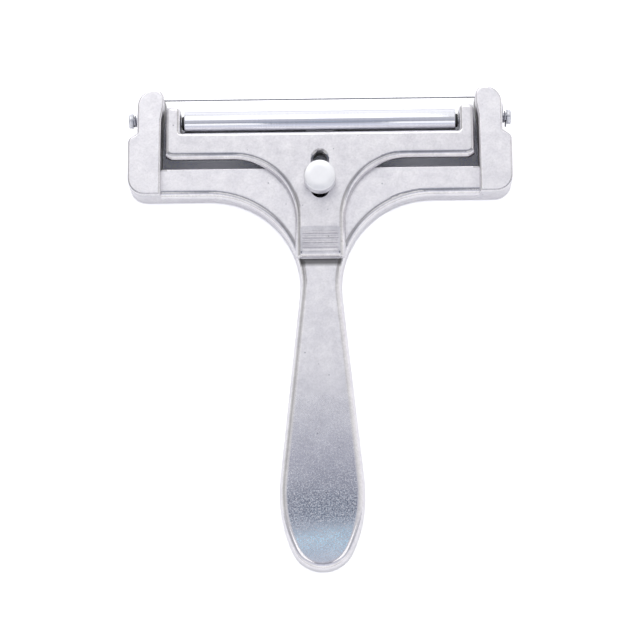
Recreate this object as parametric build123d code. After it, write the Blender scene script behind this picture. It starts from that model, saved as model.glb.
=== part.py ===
from build123d import *
import math
import os

# An adjustable wire cheese slicer, in millimetres: a cast frame with a taut wire between two posts,
# and a cast carriage with a roller, which slides on the frame to set the slice and is clamped by a knob.
# X runs along the wire, Y from the end of the handle to the wire, and Z is up.
# The origin lies on the resting face, under the middle of the length and the width.

# Overall
overall_length = 165.0
overall_width = 131.2

# Frame casting
plate_height = 8.5
handle_width = 28.56
handle_side_radius = 45.0
handle_widest_from_end = 25.5
neck_width = 14.1
sweep_radius = 31.0
arm_width = 10.0
plate_rim_radius = 2.6
arm_edge_break = 0.4
underside_radius = 1.0

# Posts of the frame
post_height = 12.0
post_length = 37.5
post_foot_width = 11.3
post_head_width = 9.2
shoulder_inset = 3.2
shoulder_from_tip = 15.6
shoulder_drop = 1.9
lean_start_from_tip = 6.0
lean_end_from_tip = 11.0
waist_lean = 0.2
block_corner_radius = 6.0
shoulder_radius = 2.6
shoulder_notch_radius = 0.8
head_outer_radius = 5.9
head_inner_radius = 3.2
lean_blend_radius = 8.0
post_rim_radius = 0.8

# Cutting wire
wire_diameter = 0.5
wire_from_tip = 2.3
wire_height = 6.0
wire_bend_radius = 1.0
wire_clearance = 0.05
wire_hole_diameter = 0.9
wire_mouth_diameter = 1.8
wire_mouth_depth = 0.5
hook_pitch = 0.95
tail_length_left = 1.5
tail_length_right = 3.0

# Wire screws and their washers
screw_from_tip = 10.1
screw_diameter = 3.0
screw_grip = 6.0
screw_tip_room = 0.5
screw_head_diameter = 5.0
screw_head_thickness = 1.22
screw_head_edge = 0.5
screw_slot_width = 0.8
screw_slot_depth = 0.6
thread_clearance = 0.05
wire_washer_diameter = 5.2
wire_washer_thickness = 0.4
washer_bore_clearance = 0.1

# Roller
roller_diameter = 8.0
roller_wall = 1.0
roller_end_gap = 1.2
roller_height = 7.0
roller_edge_radius = 0.3
slice_gap = 4.6
bush_plug_length = 6.0
bush_boss_diameter = 4.6
bush_end_gap = 0.3
axle_diameter = 2.5
axle_end_chamfer = 0.2
running_clearance = 0.05

# Carriage casting
carriage_thickness = 3.5
carriage_length = 53.4
ear_gap = 0.6
ear_width = 5.0
ear_beyond_axle = 4.5
ear_below_axle = 4.0
ear_corner_radius = 1.5
ear_bottom_radius = 0.5
ear_root_radius = 0.6
roller_gap = 0.7
crossbar_width = 9.3
crossbar_corner_radius = 4.0
flank_radius = 21.1
stem_width = 17.0
nose_corner_radius = 1.4
carriage_rim_radius = 1.3
flank_rim_radius = 2.3
nose_block_length = 4.0
rim_lap = 0.3
carriage_underside_radius = 1.0
lug_gap = 1.0

# Slot, tongue and guide groove
slot_width = 4.6
slot_length = 15.7
slot_from_crossbar_edge = 6.96
slot_chamfer = 0.9
tongue_width = 10.0
tongue_depth = 2.6
tongue_end_wall = 2.7
tongue_corner_radius = 1.0
groove_side_clearance = 0.1
groove_floor_gap = 0.5
groove_end_gap = 0.3

# Thumb pad
pad_length = 10.8
pad_width = 13.5
pad_drop = 0.8
pad_corner_radius = 1.0
nose_length = 2.3
nose_lip_depth = 0.4
nose_lip_height = 0.8
rib_groove_count = 4
rib_groove_pitch = 1.6
rib_groove_length = 12.1
rib_groove_depth = 0.35
fine_groove_depth = 0.14
first_groove_from_start = 2.45
pad_bar_width = 12.0
pad_bar_depth = 0.8
pad_bar_height = 0.25

# Knob, stud and washer
stud_diameter = 4.0
stud_from_arm_edge = 4.8
stud_end_room = 0.5
stud_in_knob = 3.4
stud_end_chamfer = 0.4
knob_washer_diameter = 10.6
knob_washer_thickness = 0.6
knob_diameter = 10.85
knob_height = 4.75
knob_top_edge = 0.5
knob_foot_chamfer = 0.25
knurl_count = 40
knurl_depth = 0.22

# One overrun for every cut, the tolerance for parallel directions and the count of points for the wire's gap
overrun = 2.0
parallel_tolerance = 1e-9
gap_points = 400

# Places along Y and X that several pieces share
tip_y = overall_length / 2
end_y = -overall_length / 2
arm_lower_y = tip_y - post_length
arm_upper_y = arm_lower_y + arm_width
block_outer_x = overall_width / 2
foot_inner_x = block_outer_x - post_foot_width
head_outer_x = block_outer_x - shoulder_inset
head_inner_x = head_outer_x - post_head_width
wire_y = tip_y - wire_from_tip
wire_radius = wire_diameter / 2

# Places of the roller and the carriage
roller_radius = roller_diameter / 2
roller_y = wire_y - slice_gap - roller_radius
crossbar_upper_y = roller_y - roller_radius - roller_gap
crossbar_lower_y = crossbar_upper_y - crossbar_width
ear_outer_x = head_inner_x - ear_gap
ear_inner_x = ear_outer_x - ear_width
roller_end_x = ear_inner_x - roller_end_gap
ear_tip_y = roller_y + ear_beyond_axle
nose_y = ear_tip_y - carriage_length
carriage_bottom = plate_height + running_clearance
carriage_top = carriage_bottom + carriage_thickness

# Places of the slot, the stud and how far the slot lets the carriage slide back
slot_upper_y = crossbar_upper_y - slot_from_crossbar_edge
slot_lower_y = slot_upper_y - slot_length
slot_middle_y = (slot_upper_y + slot_lower_y) / 2
stud_y = arm_lower_y + stud_from_arm_edge
stud_radius = stud_diameter / 2
back_travel = slot_upper_y - stud_y - stud_radius
tongue_bottom = carriage_bottom - tongue_depth
tongue_lower_y = slot_lower_y - tongue_end_wall
washer_bottom = carriage_top + running_clearance
knob_bottom = washer_bottom + knob_washer_thickness + running_clearance

# Places of the wire screws
screw_y = tip_y - screw_from_tip
screw_radius = screw_diameter / 2
hook_radius = screw_radius + wire_clearance + wire_radius
screw_z = wire_height + hook_radius
wire_side_x = head_outer_x + wire_clearance + wire_radius
wire_washer_x = wire_side_x + hook_pitch + wire_radius + wire_clearance
screw_head_x = wire_washer_x + wire_washer_thickness


def rod(start_x, end_x, y, z, radius):
    """A round bar along X."""
    middle = Pos((start_x + end_x) / 2, y, z) * Rot(0, 90, 0)
    return middle * Cylinder(radius, abs(end_x - start_x))


def ring(start_x, end_x, y, z, radius, bore_radius):
    """A round bar along X with a bore through it."""
    bore = rod(min(start_x, end_x) - overrun, max(start_x, end_x) + overrun, y, z, bore_radius)
    return rod(start_x, end_x, y, z, radius) - bore


def top_edges(solid):
    return solid.edges().group_by(Axis.Z)[-1]


def bottom_edges(solid):
    return solid.edges().group_by(Axis.Z)[0]


def other_side(solid):
    """The same piece on the left side of the object."""
    return mirror(solid, about=Plane.YZ)


def rounded_prism(corners, radii, bottom, top):
    """An upright block with the outline given by its corners, each rounded by its own radius."""
    outline = FilletPolyline(*corners, radius=radii, close=True)
    return Pos(0, 0, bottom) * extrude(make_face(outline), top - bottom)


# Frame casting

def plate_face():
    """The plan of handle and arms: end arc, side arcs, straight sides and the sweeps into the arms."""
    half_width = handle_width / 2
    side_centre = Vector(half_width - handle_side_radius, end_y + handle_widest_from_end)
    # the end arc touches the end of the handle and runs smoothly into both side arcs
    end_radius = half_width ** 2 + handle_widest_from_end ** 2 - 2 * handle_side_radius * half_width
    end_radius = end_radius / (2 * (handle_widest_from_end - handle_side_radius))
    end_centre = Vector(0, end_y + end_radius)
    end_angle = math.degrees(math.atan2(end_centre.Y - side_centre.Y, end_centre.X - side_centre.X))
    sweep_centre = Vector(neck_width / 2 + sweep_radius, arm_lower_y - sweep_radius)
    # the straight side touches the side arc and the sweep arc, which bend opposite ways
    between = sweep_centre - side_centre
    turn = math.acos((handle_side_radius + sweep_radius) / between.length)
    side_angle = math.degrees(math.atan2(between.Y, between.X) - turn)
    side_arc = CenterArc(side_centre, handle_side_radius, end_angle, side_angle - end_angle)
    sweep_arc = CenterArc(sweep_centre, sweep_radius, 180 + side_angle, -90 - side_angle)
    # the arm ends inside the post's foot, short of the block's rounded corner
    arm_end_x = foot_inner_x + (post_foot_width - block_corner_radius) / 2
    arm_lower = Line(sweep_arc @ 1, (arm_end_x, arm_lower_y))
    arm_end = Line(arm_lower @ 1, (arm_end_x, arm_upper_y))
    right = [side_arc, Line(side_arc @ 1, sweep_arc @ 0), sweep_arc, arm_lower, arm_end]
    left = [mirror(edge, about=Plane.YZ) for edge in right]
    end_arc = CenterArc(end_centre, end_radius, 180 - end_angle, 180 + 2 * end_angle)
    upper = Line((-arm_end_x, arm_upper_y), (arm_end_x, arm_upper_y))
    return make_face([end_arc, upper] + right + left)


def frame_plate():
    plate = extrude(plate_face(), plate_height)
    arm_middle_y = arm_lower_y + arm_width / 2
    rim = [edge for edge in top_edges(plate) if edge.bounding_box().max.Y < arm_middle_y]
    plate = fillet(rim, plate_rim_radius)
    upper = [edge for edge in top_edges(plate) if edge.bounding_box().min.Y > arm_middle_y]
    plate = fillet(upper, arm_edge_break)
    across = [edge for edge in bottom_edges(plate) if edge.bounding_box().size.X < arm_edge_break]
    return fillet([edge for edge in bottom_edges(plate) if edge not in across], underside_radius)


def frame_post():
    """The right post: a block at the foot, a sloping shoulder and a narrower rounded head."""
    shoulder_y = tip_y - shoulder_from_tip
    waist_x = foot_inner_x - waist_lean
    corners = [
        (foot_inner_x, arm_lower_y),
        (block_outer_x, arm_lower_y),
        (block_outer_x, shoulder_y - shoulder_drop),
        (head_outer_x, shoulder_y),
        (head_outer_x, tip_y),
        (head_inner_x, tip_y),
        (head_inner_x, tip_y - lean_start_from_tip),
        (waist_x, tip_y - lean_end_from_tip),
        (foot_inner_x, arm_upper_y),
    ]
    radii = [0, block_corner_radius, shoulder_radius, shoulder_notch_radius, head_outer_radius,
             head_inner_radius, lean_blend_radius, lean_blend_radius, 0]
    post = rounded_prism(corners, radii, 0, post_height)
    post = fillet(top_edges(post), post_rim_radius)
    return fillet(bottom_edges(post), underside_radius)


def wire_passage():
    """The drilled way of the wire through the right post's head, countersunk at both mouths."""
    hole_radius = wire_hole_diameter / 2
    mouth_radius = wire_mouth_diameter / 2
    reach = tip_y - head_outer_radius
    corner_x = head_outer_x - head_outer_radius
    outer_mouth_x = corner_x + math.sqrt(head_outer_radius ** 2 - (wire_y - reach) ** 2)
    hole = rod(head_inner_x - overrun, block_outer_x, wire_y, wire_height, hole_radius)
    cone_height = wire_mouth_depth + wire_mouth_depth
    cone = Cone(hole_radius, mouth_radius, cone_height)
    outer = Pos(outer_mouth_x, wire_y, wire_height) * Rot(0, 90, 0) * cone
    inner = Pos(head_inner_x, wire_y, wire_height) * Rot(0, -90, 0) * cone
    return hole + outer + inner


def screw_hole():
    depth_x = head_outer_x - screw_grip - screw_tip_room
    return rod(depth_x, block_outer_x, screw_y, screw_z, screw_radius + thread_clearance)


def guide_groove():
    """The groove in the frame's face that the carriage's tongue runs in, open at the arms' upper edge."""
    start_y = tongue_lower_y - back_travel - groove_end_gap
    floor = tongue_bottom - groove_floor_gap
    width = tongue_width + 2 * groove_side_clearance
    length = arm_upper_y + overrun - start_y
    height = plate_height + overrun - floor
    block = Box(width, length, height, align=(Align.CENTER, Align.MIN, Align.MIN))
    corners = block.edges().filter_by(Axis.Z).group_by(Axis.Y)[0]
    return Pos(0, start_y, floor) * fillet(corners, tongue_corner_radius)


def make_frame():
    post = frame_post()
    frame = frame_plate() + post + other_side(post)
    stud_hole = Pos(0, stud_y, 0) * Cylinder(stud_radius + thread_clearance, 2 * plate_height)
    cuts = wire_passage() + screw_hole()
    return frame - guide_groove() - stud_hole - cuts - other_side(cuts)


# Carriage casting

def mirrored_prism(right):
    """An upright block as thick as the carriage, from the corners and corner radii of its right half."""
    left = [(-x, y, radius) for x, y, radius in reversed(right)]
    corners = [(x, y) for x, y, _ in right + left]
    radii = [radius for _, _, radius in right + left]
    return rounded_prism(corners, radii, carriage_bottom, carriage_top)


def carriage_plate():
    """Crossbar, ears, flanks and stem: where a block with wide rims and one with narrow rims overlap."""
    half_stem = stem_width / 2
    rim_step = flank_rim_radius - carriage_rim_radius
    # the flanks and the sides of the stem, with the wide rim, which crosses the narrow one at the lower corners
    corner_x = ear_outer_x + rim_step + rim_lap
    flanks = mirrored_prism([
        (half_stem, nose_y - overrun, 0),
        (half_stem, crossbar_lower_y, flank_radius),
        (corner_x, crossbar_lower_y, crossbar_corner_radius),
        (corner_x, ear_tip_y + overrun, 0),
    ])
    wide_rim = [edge for edge in top_edges(flanks) if edge.center().Y < ear_tip_y]
    flanks = fillet([edge for edge in wide_rim if edge.center().Y > nose_y], flank_rim_radius)
    low_rim = [edge for edge in bottom_edges(flanks) if nose_y < edge.center().Y < ear_tip_y]
    flanks = fillet(low_rim, carriage_underside_radius)
    # the ears, the upper side of the crossbar and the end of the nose, with the narrow rim
    block_y = nose_y + nose_block_length
    ears = mirrored_prism([
        (half_stem + rim_step, nose_y, nose_corner_radius + rim_step),
        (half_stem + rim_step, block_y, 0),
        (ear_outer_x, block_y, 0),
        (ear_outer_x, ear_tip_y, ear_corner_radius),
        (ear_inner_x, ear_tip_y, ear_corner_radius),
        (ear_inner_x, crossbar_upper_y, ear_root_radius),
    ])
    shelf = [edge for edge in ears.edges() if abs(edge.center().Y - block_y) < parallel_tolerance]
    ears = fillet([edge for edge in top_edges(ears) if edge not in shelf], carriage_rim_radius)
    shelf = [edge for edge in ears.edges() if abs(edge.center().Y - block_y) < parallel_tolerance]
    ears = fillet([edge for edge in bottom_edges(ears) if edge not in shelf], carriage_underside_radius)
    return flanks & ears


def ear_lug():
    """The deep part of the right ear, which carries the axle and clears the arm when the carriage is back."""
    lower_y = arm_upper_y + back_travel + lug_gap
    corners = [
        (ear_inner_x, lower_y),
        (ear_outer_x, lower_y),
        (ear_outer_x, ear_tip_y),
        (ear_inner_x, ear_tip_y),
    ]
    radii = [0, 0, ear_corner_radius, ear_corner_radius]
    bottom = roller_height - ear_below_axle
    lug = rounded_prism(corners, radii, bottom, carriage_bottom + carriage_thickness / 2)
    return fillet(bottom_edges(lug), ear_bottom_radius)


def tongue():
    upper_y = slot_upper_y + tongue_end_wall
    length = upper_y - tongue_lower_y
    height = tongue_depth + carriage_thickness / 2
    block = Box(tongue_width, length, height, align=(Align.CENTER, Align.MIN, Align.MIN))
    corners = block.edges().filter_by(Axis.Z)
    return Pos(0, tongue_lower_y, tongue_bottom) * fillet(corners, tongue_corner_radius)


def slot_cut():
    """The long slot through plate and tongue, with a chamfered rim."""
    slot = SlotOverall(slot_length, slot_width, rotation=90)
    height = carriage_top - tongue_bottom + 2 * overrun
    through = Pos(0, slot_middle_y, tongue_bottom - overrun) * extrude(slot, height)
    wide = SlotOverall(slot_length + 2 * slot_chamfer, slot_width + 2 * slot_chamfer, rotation=90)
    rim = Pos(0, slot_middle_y, carriage_top) * loft([Pos(0, 0, -slot_chamfer) * slot, wide])
    return through + rim


def pad_height(y):
    """Height of the sloping thumb pad at a place along the stem."""
    start_y = nose_y + pad_length
    return carriage_top - pad_drop * (start_y - y) / (pad_length - nose_length)


def pad_cut():
    """What is taken off above the thumb pad and its rounded nose, between the two rims of the stem."""
    start_y = nose_y + pad_length
    brow = Vector(0, nose_y + nose_length, pad_height(nose_y + nose_length))
    start = Vector(0, start_y, carriage_top)
    lip = Vector(0, nose_y + nose_lip_depth, carriage_bottom + nose_lip_height)
    slope = Line(start, brow)
    nose = TangentArc(brow, lip, tangent=brow - start)
    out = Vector(0, nose_y - overrun, lip.Z)
    closing = Polyline(lip, out, (0, out.Y, carriage_top + overrun), (0, start_y, carriage_top + overrun), start)
    cut = extrude(make_face([slope, nose, closing]), pad_width / 2, both=True)
    corners = cut.edges().filter_by(Axis.Z).group_by(Axis.Y)[-1]
    return fillet(corners, pad_corner_radius)


def v_bar(length, depth):
    """A square bar along X, standing on its edge, that cuts a groove as deep as given below its axis."""
    side = 2 * depth * math.sqrt(2)
    return Rot(45, 0, 0) * Box(length, side, side)


def pad_grooves():
    start_y = nose_y + pad_length
    cuts = []
    for i in range(rib_groove_count):
        y = start_y - first_groove_from_start - i * rib_groove_pitch
        fine_y = y + rib_groove_pitch / 2
        for place, depth in ((y, rib_groove_depth), (fine_y, fine_groove_depth)):
            cuts.append(Pos(0, place, pad_height(place) + depth) * v_bar(rib_groove_length, depth))
    return cuts


def pad_bar():
    """The raised bar across the lower end of the pad."""
    y = nose_y + nose_length + pad_bar_depth / 2
    top = pad_height(y) + pad_bar_height
    height = pad_bar_height + carriage_thickness / 2
    bar = Box(pad_bar_width, pad_bar_depth, height, align=(Align.CENTER, Align.CENTER, Align.MAX))
    return Pos(0, y, top) * chamfer(top_edges(bar), pad_bar_height / 2)


def make_carriage():
    lug = ear_lug()
    carriage = carriage_plate() + lug + other_side(lug) + tongue()
    carriage = carriage - slot_cut() - pad_cut()
    for cut in pad_grooves():
        carriage = carriage - cut
    carriage = carriage + pad_bar()
    axle_hole = rod(-block_outer_x, block_outer_x, roller_y, roller_height, axle_diameter / 2)
    return carriage - axle_hole


# Roller, its bushes and its axle

def make_roller_tube():
    tube = rod(-roller_end_x, roller_end_x, roller_y, roller_height, roller_radius)
    ends = tube.edges().filter_by(GeomType.CIRCLE)
    tube = fillet(ends, roller_edge_radius)
    return tube - rod(-ear_inner_x, ear_inner_x, roller_y, roller_height, roller_radius - roller_wall)


def make_bush():
    """The right bush: a plug in the tube's bore and a boss that keeps the tube off the ear."""
    start_x = roller_end_x - bush_plug_length
    boss_end_x = ear_inner_x - bush_end_gap
    plug = rod(start_x, roller_end_x, roller_y, roller_height, roller_radius - roller_wall)
    boss = rod(start_x, boss_end_x, roller_y, roller_height, bush_boss_diameter / 2)
    bore = rod(0, ear_outer_x, roller_y, roller_height, axle_diameter / 2 + running_clearance)
    return plug + boss - bore


def make_axle():
    axle = rod(-ear_outer_x, ear_outer_x, roller_y, roller_height, axle_diameter / 2)
    return chamfer(axle.edges().filter_by(GeomType.CIRCLE), axle_end_chamfer)


# Cutting wire with its hooks, its screws and its washers

def biarc(start, start_direction, end, end_direction):
    """Two arcs that leave and arrive in the given directions and meet smoothly half way."""
    a = start_direction.normalized()
    b = end_direction.normalized()
    chord = end - start
    both = a + b
    # the reach makes the two control legs and the middle leg fit as tangents of circles
    p = both.dot(both) - 4
    q = -2 * chord.dot(both)
    r = chord.dot(chord)
    if math.isclose(p, 0, abs_tol=parallel_tolerance):
        reach = -r / q
    else:
        reach = (-q - math.sqrt(q * q - 4 * p * r)) / (2 * p)
    first = start + a * reach
    second = end - b * reach
    joint = (first + second) / 2
    return [TangentArc(start, joint, tangent=a), TangentArc(joint, end, tangent=second - first)]


def wire_route(tail_length):
    """The right half of the wire: through the post, round its head and once round the screw to the tail."""
    centre = Vector(head_outer_x - head_outer_radius, tip_y - head_outer_radius, wire_height)
    round_radius = head_outer_radius + wire_clearance + wire_radius
    rise = wire_y - centre.Y - wire_bend_radius
    bend_x = centre.X + math.sqrt((round_radius - wire_bend_radius) ** 2 - rise ** 2)
    bend_angle = math.degrees(math.atan2(rise, bend_x - centre.X))
    bend = CenterArc((bend_x, wire_y - wire_bend_radius, wire_height), wire_bend_radius, 90, bend_angle - 90)
    corner = CenterArc(centre, round_radius, bend_angle, -bend_angle)
    span = Line((0, wire_y, wire_height), bend @ 0)
    down = Vector(0, -1, 0)
    hook_start = Vector(wire_side_x, screw_y, wire_height)
    edges = [span, bend, corner, Line(corner @ 1, hook_start)]
    climb = hook_pitch / (2 * math.pi)

    def place(turn):
        return hook_start + Vector(
            hook_pitch * turn / 360,
            -hook_radius * math.sin(math.radians(turn)),
            hook_radius - hook_radius * math.cos(math.radians(turn)),
        )

    def direction(turn):
        if turn % 360 == 0:
            return down
        angle = math.radians(turn)
        return Vector(climb, -hook_radius * math.cos(angle), hook_radius * math.sin(angle))

    for turn in (0, 90, 180, 270):
        edges += biarc(place(turn), direction(turn), place(turn + 90), direction(turn + 90))
    tail_start = place(360)
    edges.append(Line(tail_start, tail_start + down * tail_length))
    return edges


def half_wire(tail_length):
    route = Wire(wire_route(tail_length))
    section = Plane(origin=route @ 0, z_dir=route % 0) * Circle(wire_radius)
    return sweep(section, path=route)


def least_hook_gap(tail_length):
    """Least gap between parts of the wire at a hook that lie half a turn or more apart along it."""
    route = Wire(wire_route(tail_length))
    half_turn = math.pi * hook_radius
    reach = 2 * half_turn + tail_length + 2 * hook_radius
    stations = [route.length - reach * i / gap_points for i in range(gap_points + 1)]
    places = [(s, route.position_at(s, position_mode=PositionMode.LENGTH)) for s in stations]
    gaps = [(a - b).length for i, (s, a) in enumerate(places) for t, b in places[i:] if abs(s - t) > half_turn]
    return min(gaps) - wire_diameter


def make_wire():
    return half_wire(tail_length_right) + other_side(half_wire(tail_length_left))


def make_wire_washer():
    return ring(wire_washer_x, screw_head_x, screw_y, screw_z, wire_washer_diameter / 2,
                screw_radius + washer_bore_clearance)


def make_wire_screw():
    """The right screw: a slotted pan head and a plain shank that stands for the thread."""
    outer_x = screw_head_x + screw_head_thickness
    head = rod(screw_head_x, outer_x, screw_y, screw_z, screw_head_diameter / 2)
    outer_edge = head.edges().filter_by(GeomType.CIRCLE).sort_by(Axis.X)[-1]
    head = fillet(outer_edge, screw_head_edge)
    slot = Box(2 * screw_slot_depth, screw_head_diameter + overrun, screw_slot_width)
    shank = rod(head_outer_x - screw_grip, screw_head_x + screw_head_thickness / 2, screw_y, screw_z, screw_radius)
    return head + shank - Pos(outer_x, screw_y, screw_z) * slot


# Knob, stud and washer

def make_knob():
    radius = knob_diameter / 2
    knob = Pos(0, stud_y, knob_bottom) * Cylinder(radius, knob_height, align=(Align.CENTER, Align.CENTER, Align.MIN))
    knob = fillet(top_edges(knob), knob_top_edge)
    knob = chamfer(bottom_edges(knob), knob_foot_chamfer)
    side = 2 * knurl_depth * math.sqrt(2)
    bar = Pos(radius + knurl_depth, 0, 0) * Rot(0, 0, 45) * Box(side, side, knob_height - knob_top_edge)
    middle = Pos(0, stud_y, knob_bottom + (knob_height - knob_top_edge) / 2)
    for i in range(knurl_count):
        knob = knob - middle * Rot(0, 0, 360 * i / knurl_count) * bar
    bore = Pos(0, stud_y, knob_bottom - overrun) * Cylinder(
        stud_radius, stud_in_knob + overrun, align=(Align.CENTER, Align.CENTER, Align.MIN))
    return knob - bore


def make_stud():
    length = knob_bottom + stud_in_knob - stud_end_room
    stud = Cylinder(stud_radius, length, align=(Align.CENTER, Align.CENTER, Align.MIN))
    return Pos(0, stud_y, stud_end_room) * chamfer(bottom_edges(stud), stud_end_chamfer)


def make_knob_washer():
    washer = Cylinder(knob_washer_diameter / 2, knob_washer_thickness, align=(Align.CENTER, Align.CENTER, Align.MIN))
    bore = Cylinder(stud_radius + washer_bore_clearance, 2 * (knob_washer_thickness + overrun))
    return Pos(0, stud_y, washer_bottom) * (washer - bore)


bush = make_bush()
wire_washer = make_wire_washer()
wire_screw = make_wire_screw()

pieces = {
    "frame_handle": make_frame(),
    "roller_carriage": make_carriage(),
    "roller_tube": make_roller_tube(),
    "roller_axle": make_axle(),
    "roller_bush_right": bush,
    "roller_bush_left": other_side(bush),
    "cutting_wire": make_wire(),
    "wire_washer_right": wire_washer,
    "wire_washer_left": other_side(wire_washer),
    "wire_screw_right": wire_screw,
    "wire_screw_left": other_side(wire_screw),
    "lock_knob": make_knob(),
    "lock_stud": make_stud(),
    "knob_washer": make_knob_washer(),
}

os.makedirs("parts", exist_ok=True)
for name, piece in pieces.items():
    export_step(piece, f"parts/{name}.step")

print("least gap of the wire to itself at its hooks:", round(least_hook_gap(tail_length_right), 3))
print("carriage travel back and forward from rest:", round(back_travel, 3),
      round(stud_y - stud_radius - slot_lower_y, 3))
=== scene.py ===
import math

import bmesh
import bpy
from mathutils import Matrix, Vector


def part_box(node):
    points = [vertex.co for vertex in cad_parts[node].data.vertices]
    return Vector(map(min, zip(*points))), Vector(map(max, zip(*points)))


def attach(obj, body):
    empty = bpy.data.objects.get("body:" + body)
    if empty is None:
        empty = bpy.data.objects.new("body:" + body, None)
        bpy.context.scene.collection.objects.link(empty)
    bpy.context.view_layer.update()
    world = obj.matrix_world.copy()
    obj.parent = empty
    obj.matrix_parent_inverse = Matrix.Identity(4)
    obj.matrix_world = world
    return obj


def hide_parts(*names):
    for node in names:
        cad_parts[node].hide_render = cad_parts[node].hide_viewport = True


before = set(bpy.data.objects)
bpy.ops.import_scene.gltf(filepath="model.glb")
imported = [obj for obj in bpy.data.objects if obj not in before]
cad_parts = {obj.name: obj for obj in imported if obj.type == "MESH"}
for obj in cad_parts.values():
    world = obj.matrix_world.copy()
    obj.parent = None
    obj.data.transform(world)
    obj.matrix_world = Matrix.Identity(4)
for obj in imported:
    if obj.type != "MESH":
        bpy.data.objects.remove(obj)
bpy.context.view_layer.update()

# The wire cheese slicer, dressed: two aluminium castings, a polished roller, a taut wire and a clamping knob.
# Small pieces are shaped in millimetres round the Z axis and then set in place in metres.
MM = 0.001

# Sizes of the small pieces that their solids' boxes don't give, in millimetres. A rounded edge that is a list
# gives each of its points as its distance in from the side and its distance down from the top.
ROUND_STEPS = 64
MERGE_DISTANCE = 0.0005
CUT_THRESHOLD = 0.00001
TOLERANCE = 0.02
SMOOTH_DEGREES = 40
ROLLER_SIDES = 192
ROLLER_WALL = 1.0
ROLLER_EDGE = 0.3
ROLLER_EDGE_STEPS = 4
ROLLER_EDGE_DEGREES = 50
AXLE_CHAMFER = 0.2
AXLE_CENTRE_RADIUS = 0.45
AXLE_CENTRE_DEPTH = 0.4
PLUG_LENGTH = 6.0
PLUG_LEAD_IN = 0.3
PLUG_LEAD_IN_LENGTH = 0.4
BUSH_BOSS_RADIUS = 2.3
BUSH_BOSS_CHAMFER = 0.2
BUSH_BORE_RADIUS = 1.3
THREAD_STEPS = 28
THREAD_DEPTH_IN_PITCHES = 0.613
THREAD_LEAD_IN_PITCHES = 1.5
SCREW_RADIUS = 1.5
SCREW_PITCH = 0.5
SCREW_HEAD_THICKNESS = 1.22
SCREW_HEAD_CHAMFER = 0.08
SCREW_HEAD_EDGE = [(0, 0.5), (0.07, 0.3), (0.24, 0.13), (0.5, 0.05)]
SCREW_HEAD_CROWN = 0.01
SCREW_SLOT_WIDTH = 0.8
SCREW_SLOT_DEPTH = 0.6
WIRE_WASHER_BORE = 1.6
WIRE_WASHER_EDGE = 0.12
STUD_RADIUS = 2.0
STUD_PITCH = 0.7
STUD_TIP_SHARE = 0.85
STUD_IN_KNOB = 3.4
KNOB_WASHER_BORE = 2.1
KNOB_WASHER_EDGE = 0.2
KNOB_FOOT_CHAMFER = 0.25
KNOB_TOP_EDGE = [(0, 0.5), (0.07, 0.28), (0.2, 0.12), (0.5, 0)]
KNURL_COUNT = 40
KNURL_STEPS = 4
KNURL_DEPTH = 0.05
KNURL_ABOVE_FOOT = 0.5
KNURL_BELOW_TOP = 0.95


# Modelling helpers

def deselect_all():
    if bpy.context.object and bpy.context.object.mode != "OBJECT":
        bpy.ops.object.mode_set(mode="OBJECT")
    bpy.ops.object.select_all(action="DESELECT")


def take(piece):
    """Make this piece the only one selected."""
    deselect_all()
    piece.select_set(True)
    bpy.context.view_layer.objects.active = piece
    return piece


def name_piece(name):
    piece = bpy.context.object
    piece.name = name
    piece.data.name = name
    return piece


def cad_corners(node):
    """Lowest and highest corner of a CAD node, in millimetres."""
    low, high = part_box(node)
    return low / MM, high / MM


def select_vertices(piece, test):
    """In edit mode, select only the vertices whose place passes the test."""
    mesh = bmesh.from_edit_mesh(piece.data)
    bpy.ops.mesh.select_all(action="DESELECT")
    bpy.ops.mesh.select_mode(type="VERT")
    for vertex in mesh.verts:
        vertex.select_set(test(vertex.co))
    mesh.select_flush(False)
    bmesh.update_edit_mesh(piece.data)


def apply_all(piece):
    take(piece)
    for modifier in list(piece.modifiers):
        bpy.ops.object.modifier_apply(modifier=modifier.name)


def draw_outline(name, outline):
    """A chain of points, each a radius and a height in millimetres, extruded from a single corner."""
    deselect_all()
    bpy.ops.mesh.primitive_plane_add(size=0.1)
    piece = name_piece(name)
    bpy.ops.object.mode_set(mode="EDIT")
    bpy.ops.mesh.select_all(action="SELECT")
    bpy.ops.mesh.merge(type="CENTER")
    points = [Vector((radius, 0, height)) for radius, height in outline]
    bpy.ops.transform.translate(value=points[0])
    for here, there in zip(points, points[1:]):
        bpy.ops.mesh.extrude_region_move(TRANSFORM_OT_translate={"value": there - here})
    bpy.ops.mesh.select_all(action="SELECT")
    return piece


def turn(name, outline, steps=ROUND_STEPS):
    """A turned piece: the outline spun once round the Z axis, with its seam and its poles closed."""
    piece = draw_outline(name, outline)
    bpy.ops.mesh.spin(steps=steps, angle=2 * math.pi, center=(0, 0, 0), axis=(0, 0, 1))
    bpy.ops.mesh.select_all(action="SELECT")
    bpy.ops.mesh.remove_doubles(threshold=MERGE_DISTANCE)
    bpy.ops.mesh.normals_make_consistent(inside=False)
    bpy.ops.object.mode_set(mode="OBJECT")
    return piece


def turn_washer(name, bore, radius, half, edge):
    """A flat washer about its middle, whose rim is rounded over the edge's width."""
    rim = [(radius - edge, half), (radius - edge / 4, half - edge / 2), (radius, 0),
           (radius - edge / 4, edge / 2 - half), (radius - edge, -half)]
    return turn(name, [(bore, -half), (bore, half)] + rim + [(bore, -half)])


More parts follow.
